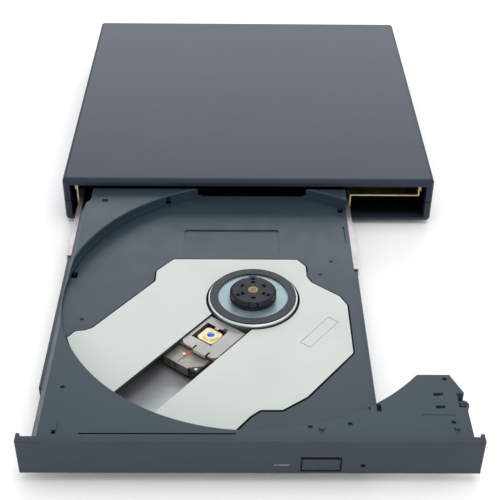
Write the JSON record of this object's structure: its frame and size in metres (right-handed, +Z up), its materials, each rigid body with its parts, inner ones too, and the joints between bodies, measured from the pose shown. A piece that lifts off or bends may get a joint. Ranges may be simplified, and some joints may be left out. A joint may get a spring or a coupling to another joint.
{
  "type": "external dvd drive",
  "caption": "Slim external disc drive: low square case, tray out on steel rails, hub with claws, pickup on a diagonal slot, eject button and latch.",
  "frame": {"origin": "centre of the case's footprint on the plane that its feet stand on", "axes": "+Y from the tray's bezel to the back of the case, +Z up, +X to the right seen from the bezel"},
  "size_m": [0.136, 0.261, 0.0192],
  "materials": {
    "case_plastic": "fine matt, slightly blue grey",
    "tray_plastic": "satin moulded slate",
    "bezel_plastic": "fine matt",
    "black_plastic": "satin",
    "white_plastic": "satin",
    "cream_plastic": "satin",
    "clear_plastic": "clear, frosted end",
    "rubber_black": "matt",
    "rubber_grey": "matt",
    "pale_paint": "smooth satin",
    "zinc_steel": "zinc plated",
    "gold_steel": "plated, faintly golden",
    "bright_steel": "brushed",
    "dark_steel": "blackened",
    "chrome_steel": "ground",
    "brass": "turned",
    "cast_metal": "die cast",
    "magnet": "sintered",
    "board_green": "solder mask",
    "lens_glass": "coated"
  },
  "bodies": {
    "base": {"bottom_shell": "case_plastic", "top_shell": "case_plastic", "rubber_feet": "rubber_black", "case_screws": "dark_steel", "bridge_board": "board_green", "bridge_connector": "black_plastic", "usb_socket": "zinc_steel", "power_socket": "black_plastic", "drive_base": "gold_steel", "drive_cover": "gold_steel", "cover_screws": "zinc_steel", "drive_connector": "black_plastic", "left_guide": "black_plastic", "right_guide": "black_plastic"},
    "left_rail_body": {"left_rail": "bright_steel"},
    "right_rail_body": {"right_rail": "bright_steel"},
    "tray_body": {"tray": "tray_plastic", "tray_shield": "bright_steel", "tray_board": "board_green", "tray_screws": "zinc_steel", "bezel": "bezel_plastic", "light_pipe": "clear_plastic", "switch_board": "board_green", "eject_switch": "black_plastic", "traverse_plate": "pale_paint", "dampers": "rubber_grey", "spindle_base": "zinc_steel", "stator": "dark_steel", "bearing_sleeve": "brass", "guide_rods": "chrome_steel", "rod_clamps": "black_plastic", "screw_bracket": "zinc_steel", "sled_motor": "zinc_steel", "latch_spring": "chrome_steel", "solenoid": "black_plastic", "kicker_spring": "chrome_steel", "roller_pin": "dark_steel"},
    "spindle_body": {"turntable": "bright_steel", "turntable_ring": "rubber_grey", "disc_hub": "black_plastic", "claw_springs": "chrome_steel", "spindle_shaft": "chrome_steel", "hub_bush": "brass", "rotor_magnet": "magnet"},
    "claw_1_body": {"hub_claw_1": "black_plastic"},
    "claw_2_body": {"hub_claw_2": "black_plastic"},
    "claw_3_body": {"hub_claw_3": "black_plastic"},
    "sled_body": {"pickup_body": "cast_metal", "pickup_cover": "bright_steel", "pickup_front_cover": "bright_steel", "nut_arm": "white_plastic", "focus_magnets": "magnet"},
    "lens_body": {"lens_holder": "cream_plastic", "lens": "lens_glass"},
    "lead_screw_body": {"lead_screw": "chrome_steel"},
    "button_body": {"eject_button": "bezel_plastic"},
    "latch_body": {"latch_lever": "white_plastic"},
    "solenoid_plunger_body": {"solenoid_plunger": "chrome_steel"},
    "kicker_body": {"kicker_plunger": "black_plastic"},
    "roller_body": {"ear_roller": "black_plastic"}
  },
  "joints": [
    {"name": "tray_slide", "type": "slide", "parent": "base", "child": "tray_body", "axis": [0, 1, 0], "range_m": [0, 0.125]},
    {"name": "left_rail_slide", "type": "slide", "parent": "base", "child": "left_rail_body", "axis": [0, 1, 0], "range_m": [0, 0.0625]},
    {"name": "right_rail_slide", "type": "slide", "parent": "base", "child": "right_rail_body", "axis": [0, 1, 0], "range_m": [0, 0.0625]},
    {"name": "spindle_spin", "type": "hinge", "parent": "tray_body", "child": "spindle_body", "pos_m": [0.0012, -0.1258, 0.0119], "axis": [0, 0, 1], "continuous": true},
    {"name": "claw_1_press", "type": "slide", "parent": "spindle_body", "child": "claw_1_body", "axis": [0, -1, 0], "range_m": [0, 0.0006], "stiffness_N_per_m": 300},
    {"name": "claw_2_press", "type": "slide", "parent": "spindle_body", "child": "claw_2_body", "axis": [0.866, 0.5, 0], "range_m": [0, 0.0006], "stiffness_N_per_m": 300},
    {"name": "claw_3_press", "type": "slide", "parent": "spindle_body", "child": "claw_3_body", "axis": [-0.866, 0.5, 0], "range_m": [0, 0.0006], "stiffness_N_per_m": 300},
    {"name": "pickup_slide", "type": "slide", "parent": "tray_body", "child": "sled_body", "axis": [-0.6157, -0.788, 0], "range_m": [0, 0.036]},
    {"name": "lead_screw_spin", "type": "hinge", "parent": "tray_body", "child": "lead_screw_body", "pos_m": [-0.03203, -0.14299, 0.0074], "axis": [-0.6157, -0.788, 0], "range_deg": [0, 4320]},
    {"name": "lens_focus", "type": "slide", "parent": "sled_body", "child": "lens_body", "axis": [0, 0, 1], "range_m": [-0.0004, 0.0004], "stiffness_N_per_m": 40},
    {"name": "eject_button_press", "type": "slide", "parent": "tray_body", "child": "button_body", "axis": [0, 1, 0], "range_m": [0, 0.0004], "stiffness_N_per_m": 800},
    {"name": "latch_swing", "type": "hinge", "parent": "tray_body", "child": "latch_body", "pos_m": [0.042, -0.182, 0.0124], "axis": [0, 0, 1], "range_deg": [0, 7]},
    {"name": "plunger_slide", "type": "slide", "parent": "tray_body", "child": "solenoid_plunger_body", "axis": [0, -1, 0], "range_m": [0, 0.00135], "stiffness_N_per_m": 81},
    {"name": "kicker_push", "type": "slide", "parent": "tray_body", "child": "kicker_body", "axis": [0, -1, 0], "range_m": [0, 0.002], "stiffness_N_per_m": 300, "deforming": ["kicker_spring"]},
    {"name": "ear_roller_spin", "type": "hinge", "parent": "tray_body", "child": "roller_body", "pos_m": [0.0602, -0.1765, 0.0129], "axis": [0, 0, 1], "continuous": true}
  ],
  "couplings": [
    {"joint": "left_rail_slide", "follows": "tray_slide", "ratio": 0.5},
    {"joint": "right_rail_slide", "follows": "tray_slide", "ratio": 0.5},
    {"joint": "lead_screw_spin", "follows": "pickup_slide", "rad_per_m": 2094.4},
    {"joint": "latch_swing", "follows": "plunger_slide", "rad_per_m": 90.253}
  ]
}
